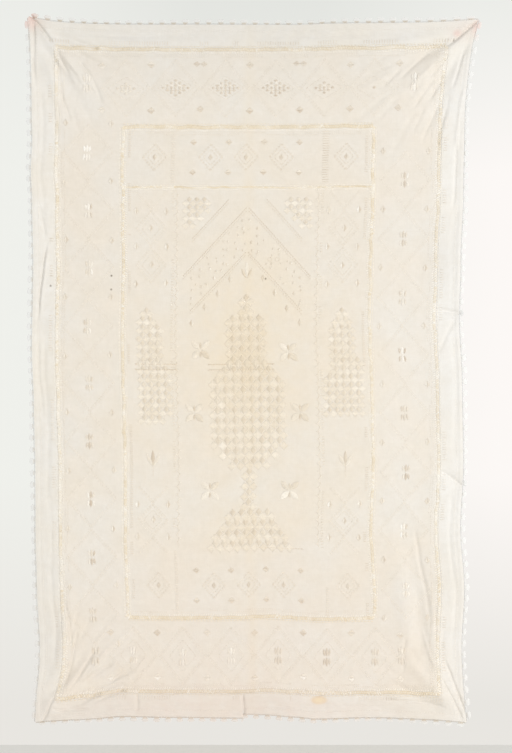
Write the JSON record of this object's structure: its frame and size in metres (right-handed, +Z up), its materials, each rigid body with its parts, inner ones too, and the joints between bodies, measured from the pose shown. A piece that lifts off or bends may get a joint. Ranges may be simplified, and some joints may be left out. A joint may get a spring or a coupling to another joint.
{
  "type": "embroidered prayer hanging",
  "caption": "Whitework prayer hanging: a silk-embroidered cotton panel with a niche design, in a plain pieced border with a picot edging, hung flat by its top edge.",
  "frame": {"origin": "middle of the top edge of the cloth, by which it is hung", "axes": "+Z up, the embroidered face looks along -Y, +X to the right of someone looking at the face"},
  "size_m": [1.0273, 0.0242, 1.607],
  "materials": {
    "panel_cloth": "plain-woven cotton, ivory, aged",
    "border_cloth": "plain-woven cotton, off-white",
    "edging_thread": "twisted cotton edging, cream to buff",
    "silk_floss": "satin-stitched silk floss, cream"
  },
  "bodies": {
    "root": {"panel": "panel_cloth", "border_top": "border_cloth", "border_left": "border_cloth", "border_right": "border_cloth", "border_bottom_left": "border_cloth", "border_bottom_right": "border_cloth", "edging_top": "edging_thread", "edging_left": "edging_thread", "edging_right": "edging_thread", "edging_bottom_left": "edging_thread", "edging_bottom_right": "edging_thread"}
  },
  "joints": []
}
